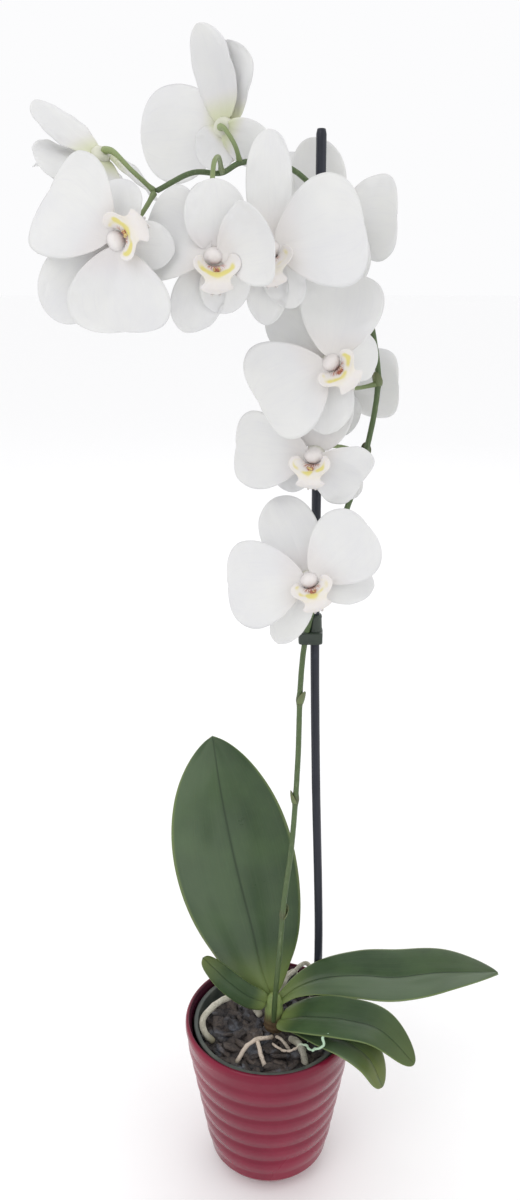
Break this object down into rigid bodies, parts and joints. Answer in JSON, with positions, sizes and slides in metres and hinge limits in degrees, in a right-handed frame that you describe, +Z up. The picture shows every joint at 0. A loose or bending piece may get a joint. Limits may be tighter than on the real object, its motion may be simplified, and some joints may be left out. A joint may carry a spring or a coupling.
{
  "type": "potted orchid",
  "caption": "Moth orchid with an arching stem of white blooms on a stake, broad leaves and roots in bark, in a ribbed round pot.",
  "frame": {"origin": "centre of the pot's flat underside", "axes": "+Z up along the plant; the lower flower stem leans to +X and the spray arches over to -X; the blooms mostly face -Y"},
  "size_m": [0.3095, 0.1753, 0.8176],
  "materials": {
    "glazed_ceramic": "burgundy glaze on ceramic, glossy",
    "grow_pot_plastic": "smoke grey thin plastic",
    "bark": "dark rough bark chips, damp",
    "crown": "smooth green plant tissue, brown at its foot",
    "stem": "smooth green flower stem",
    "stake": "near-black coated rod, satin",
    "clip": "dark green moulded plastic",
    "leaf": "thick waxy leaf, soft gloss",
    "root": "silvery dry aerial root",
    "petal": "white petal, soft satin, faintly green or lilac",
    "lip": "white and yellow lip with red-brown marks"
  },
  "bodies": {
    "root": {"pot": "glazed_ceramic", "grow_pot": "grow_pot_plastic", "bark": "bark", "crown": "crown", "flower_stem": "stem", "stake": "stake", "clip": "clip", "leaf_a": "leaf", "leaf_b": "leaf", "leaf_c": "leaf", "leaf_d": "leaf", "leaf_e": "leaf", "root_1": "root", "root_2": "root", "root_3": "root", "root_4": "root", "root_5": "root", "root_6": "root", "root_7": "root", "bloom_1": "petal", "bloom_2": "petal", "bloom_3": "petal", "bloom_4": "petal", "bloom_5": "petal", "bloom_6": "petal", "bloom_7": "petal", "bloom_8": "petal", "bloom_9": "petal", "bloom_10": "petal", "lip_1": "lip", "lip_2": "lip", "lip_3": "lip", "lip_4": "lip", "lip_5": "lip", "lip_6": "lip", "lip_7": "lip", "lip_8": "lip", "lip_9": "lip", "lip_10": "lip"}
  },
  "joints": []
}
